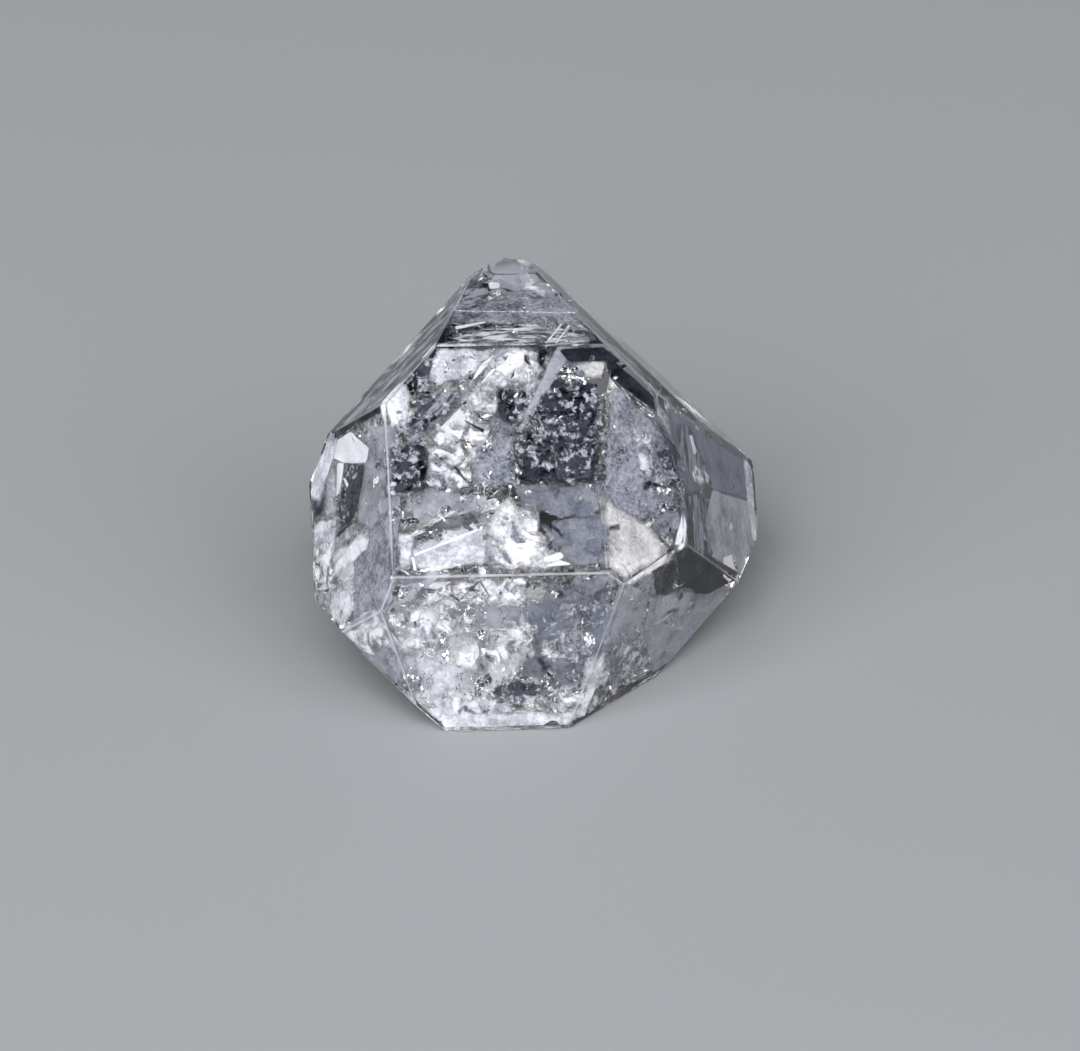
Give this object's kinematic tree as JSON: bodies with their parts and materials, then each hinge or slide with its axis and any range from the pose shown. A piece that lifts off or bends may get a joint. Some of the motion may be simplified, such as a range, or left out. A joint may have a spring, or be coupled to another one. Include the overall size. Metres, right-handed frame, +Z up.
{
  "type": "herkimer diamond crystal",
  "caption": "Clear doubly terminated quartz crystal, stout and flat-faced, lying on one of its point faces.",
  "frame": {"origin": "on the table, under the middle of the crystal as it lies", "axes": "+Z up, +X to the crystal's right as seen from its front prism face, +Y to its back; the crystal's long axis leans back from the front, about 38 degrees above the table"},
  "size_m": [0.0226, 0.0202, 0.0153],
  "materials": {
    "clear_quartz": "water-clear natural quartz with glassy faces, cloudy veils and healed cracks inside"
  },
  "bodies": {
    "root": {"herkimer_crystal": "clear_quartz"}
  },
  "joints": []
}
